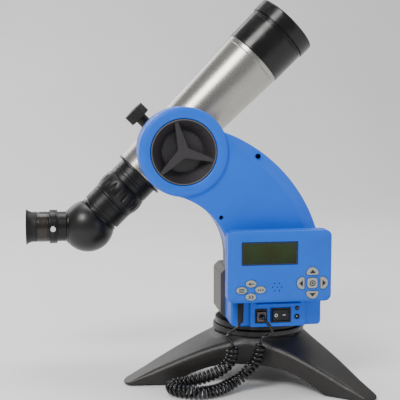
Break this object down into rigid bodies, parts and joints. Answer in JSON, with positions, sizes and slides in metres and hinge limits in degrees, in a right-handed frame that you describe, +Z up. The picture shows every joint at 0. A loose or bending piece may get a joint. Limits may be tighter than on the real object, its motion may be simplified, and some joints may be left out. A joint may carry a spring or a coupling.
{
  "type": "telescope on tripod",
  "caption": "Small motorised refractor on a curved single-arm mount with a docked handset, coiled lead and low arched three-legged stand.",
  "frame": {"origin": "on the surface the stand rests on, under the middle of the bounding box with the cord left out", "axes": "+Z up, +X towards the side the tube points to at rest, +Y away from the handset"},
  "size_m": [0.3756, 0.2814, 0.4378],
  "materials": {
    "dark_plastic": "moulded with a fine grain",
    "black_plastic": "satin moulded",
    "blue_plastic": "smooth moulded",
    "grey_plastic": "moulded with a fine grain",
    "key_grey": "satin moulded",
    "lcd_glass": "clear window over a reflective display",
    "tube_silver": "satin",
    "steel": "turned",
    "chrome": "plated",
    "brass": "turned",
    "nylon": "natural",
    "optical_glass": "polished and coated",
    "soft_rubber": "matt moulded",
    "cord_rubber": "smooth extruded",
    "circuit_board": "varnished",
    "cell_can": "wrapped",
    "amber_plastic": "clear moulded"
  },
  "bodies": {
    "tripod": {"tripod_shell": "dark_plastic", "foot_pad_1": "soft_rubber", "foot_pad_2": "soft_rubber", "foot_pad_3": "soft_rubber", "pivot_post": "steel", "azimuth_gear": "nylon"},
    "arm": {"turntable": "black_plastic", "arm_front_cover": "blue_plastic", "arm_rear_cover": "grey_plastic", "battery_box": "grey_plastic", "battery_pack": "cell_can", "main_board": "circuit_board", "altitude_motor": "steel", "azimuth_motor": "steel", "control_panel": "blue_plastic", "handset_socket": "black_plastic", "switch_frame": "black_plastic", "power_jack": "black_plastic", "cord_plug": "amber_plastic", "cord_lead_handset": "cord_rubber", "cord_curl": "cord_rubber", "cord_lead_plug": "cord_rubber"},
    "battery_door": {"battery_door": "grey_plastic"},
    "altitude_pinion": {"altitude_pinion": "brass"},
    "azimuth_pinion": {"azimuth_pinion": "brass"},
    "rocker": {"rocker": "black_plastic"},
    "saddle": {"saddle_clamp": "black_plastic", "altitude_shaft": "steel", "altitude_gear": "nylon"},
    "lock_screw": {"lock_screw": "black_plastic"},
    "altitude_knob": {"altitude_knob": "dark_plastic"},
    "optical_tube": {"dovetail_bar": "black_plastic", "main_tube": "tube_silver", "dew_shield": "black_plastic", "objective_lens": "optical_glass", "focuser_body": "black_plastic"},
    "lens_cap": {"lens_cap": "black_plastic"},
    "focus_ring": {"focus_ring": "black_plastic"},
    "draw_tube": {"draw_tube": "black_plastic"},
    "diagonal": {"diagonal_housing": "black_plastic", "diagonal_prism": "optical_glass", "eyepiece_holder": "black_plastic"},
    "holder_screw": {"holder_screw": "chrome"},
    "eyepiece": {"eyepiece_barrel": "black_plastic", "eye_lens": "optical_glass", "eyecup": "soft_rubber"},
    "handset": {"handset_front": "blue_plastic", "handset_rear": "blue_plastic", "lcd_window": "lcd_glass", "strain_relief": "soft_rubber", "handset_board": "circuit_board"},
    "key_up": {"key_up": "key_grey"},
    "key_down": {"key_down": "key_grey"},
    "key_left": {"key_left": "key_grey"},
    "key_right": {"key_right": "key_grey"},
    "key_enter": {"key_enter": "key_grey"},
    "key_back": {"key_back": "key_grey"},
    "key_menu": {"key_menu": "key_grey"},
    "key_help": {"key_help": "key_grey"},
    "key_speed": {"key_speed": "key_grey"}
  },
  "joints": [
    {"name": "azimuth", "type": "hinge", "parent": "tripod", "child": "arm", "pos_m": [0.08047, -0.01178, 0.065], "axis": [0, 0, 1], "range_deg": [-90, 90], "deforming": ["cord_lead_handset", "cord_curl", "cord_lead_plug"]},
    {"name": "azimuth_pinion_spin", "type": "hinge", "parent": "arm", "child": "azimuth_pinion", "pos_m": [0.10996, -0.03243, 0.0747], "axis": [0, 0, 1], "range_deg": [-270, 270]},
    {"name": "altitude", "type": "hinge", "parent": "arm", "child": "saddle", "pos_m": [-0.01303, -0.01178, 0.2634], "axis": [0, -1, 0], "range_deg": [-50, 45]},
    {"name": "altitude_pinion_spin", "type": "hinge", "parent": "arm", "child": "altitude_pinion", "pos_m": [0.02383, -0.03328, 0.23759], "axis": [0, -1, 0], "range_deg": [-180, 200]},
    {"name": "altitude_knob_turn", "type": "hinge", "parent": "saddle", "child": "altitude_knob", "pos_m": [-0.01303, -0.05378, 0.2634], "axis": [0, -1, 0], "range_deg": [-90, 90]},
    {"name": "lock_screw_turn", "type": "hinge", "parent": "saddle", "child": "lock_screw", "pos_m": [-0.01586, 0.01322, 0.26057], "axis": [-0.7071, 0, 0.7071], "range_deg": [-180, 180]},
    {"name": "tube_slide", "type": "slide", "parent": "saddle", "child": "optical_tube", "axis": [0.7071, 0, 0.7071], "range_m": [-0.015, 0.015]},
    {"name": "lens_cap_pull", "type": "slide", "parent": "optical_tube", "child": "lens_cap", "axis": [0.7071, 0, 0.7071], "range_m": [0, 0.03]},
    {"name": "focus_turn", "type": "hinge", "parent": "optical_tube", "child": "focus_ring", "pos_m": [-0.07547, 0.05822, 0.20704], "axis": [-0.7071, 0, -0.7071], "range_deg": [0, 270]},
    {"name": "draw_slide", "type": "slide", "parent": "optical_tube", "child": "draw_tube", "axis": [-0.7071, 0, -0.7071], "range_m": [0, 0.012]},
    {"name": "diagonal_swivel", "type": "hinge", "parent": "draw_tube", "child": "diagonal", "pos_m": [-0.11457, 0.05822, 0.16794], "axis": [0.7071, 0, 0.7071], "range_deg": [-90, 90]},
    {"name": "eyepiece_pull", "type": "slide", "parent": "diagonal", "child": "eyepiece", "axis": [-1, 0, 0], "range_m": [0, 0.026]},
    {"name": "holder_screw_turn", "type": "hinge", "parent": "diagonal", "child": "holder_screw", "pos_m": [-0.15587, 0.03672, 0.16794], "axis": [0, -1, 0], "range_deg": [-180, 180]},
    {"name": "handset_lift", "type": "slide", "parent": "arm", "child": "handset", "axis": [0, 0, 1], "range_m": [0, 0.015]},
    {"name": "key_up_press", "type": "slide", "parent": "handset", "child": "key_up", "axis": [0, 1, 0], "range_m": [0, 0.001], "stiffness_N_per_m": 300},
    {"name": "key_down_press", "type": "slide", "parent": "handset", "child": "key_down", "axis": [0, 1, 0], "range_m": [0, 0.001], "stiffness_N_per_m": 300},
    {"name": "key_left_press", "type": "slide", "parent": "handset", "child": "key_left", "axis": [0, 1, 0], "range_m": [0, 0.001], "stiffness_N_per_m": 300},
    {"name": "key_right_press", "type": "slide", "parent": "handset", "child": "key_right", "axis": [0, 1, 0], "range_m": [0, 0.001], "stiffness_N_per_m": 300},
    {"name": "key_enter_press", "type": "slide", "parent": "handset", "child": "key_enter", "axis": [0, 1, 0], "range_m": [0, 0.001], "stiffness_N_per_m": 300},
    {"name": "key_back_press", "type": "slide", "parent": "handset", "child": "key_back", "axis": [0, 1, 0], "range_m": [0, 0.001], "stiffness_N_per_m": 300},
    {"name": "key_menu_press", "type": "slide", "parent": "handset", "child": "key_menu", "axis": [0, 1, 0], "range_m": [0, 0.001], "stiffness_N_per_m": 300},
    {"name": "key_help_press", "type": "slide", "parent": "handset", "child": "key_help", "axis": [0, 1, 0], "range_m": [0, 0.001], "stiffness_N_per_m": 300},
    {"name": "key_speed_press", "type": "slide", "parent": "handset", "child": "key_speed", "axis": [0, 1, 0], "range_m": [0, 0.001], "stiffness_N_per_m": 300},
    {"name": "rocker_tip", "type": "hinge", "parent": "arm", "child": "rocker", "pos_m": [0.09387, -0.06828, 0.0818], "axis": [0, 0, 1], "range_deg": [-7, 0]},
    {"name": "battery_door_open", "type": "hinge", "parent": "arm", "child": "battery_door", "pos_m": [0.08597, 0.02792, 0.0786], "axis": [-1, 0, 0], "range_deg": [0, 90]}
  ],
  "couplings": [
    {"joint": "azimuth_pinion_spin", "follows": "azimuth", "ratio": 3},
    {"joint": "altitude_pinion_spin", "follows": "altitude", "ratio": -4},
    {"joint": "focus_turn", "follows": "draw_slide", "rad_per_m": 392.69}
  ]
}
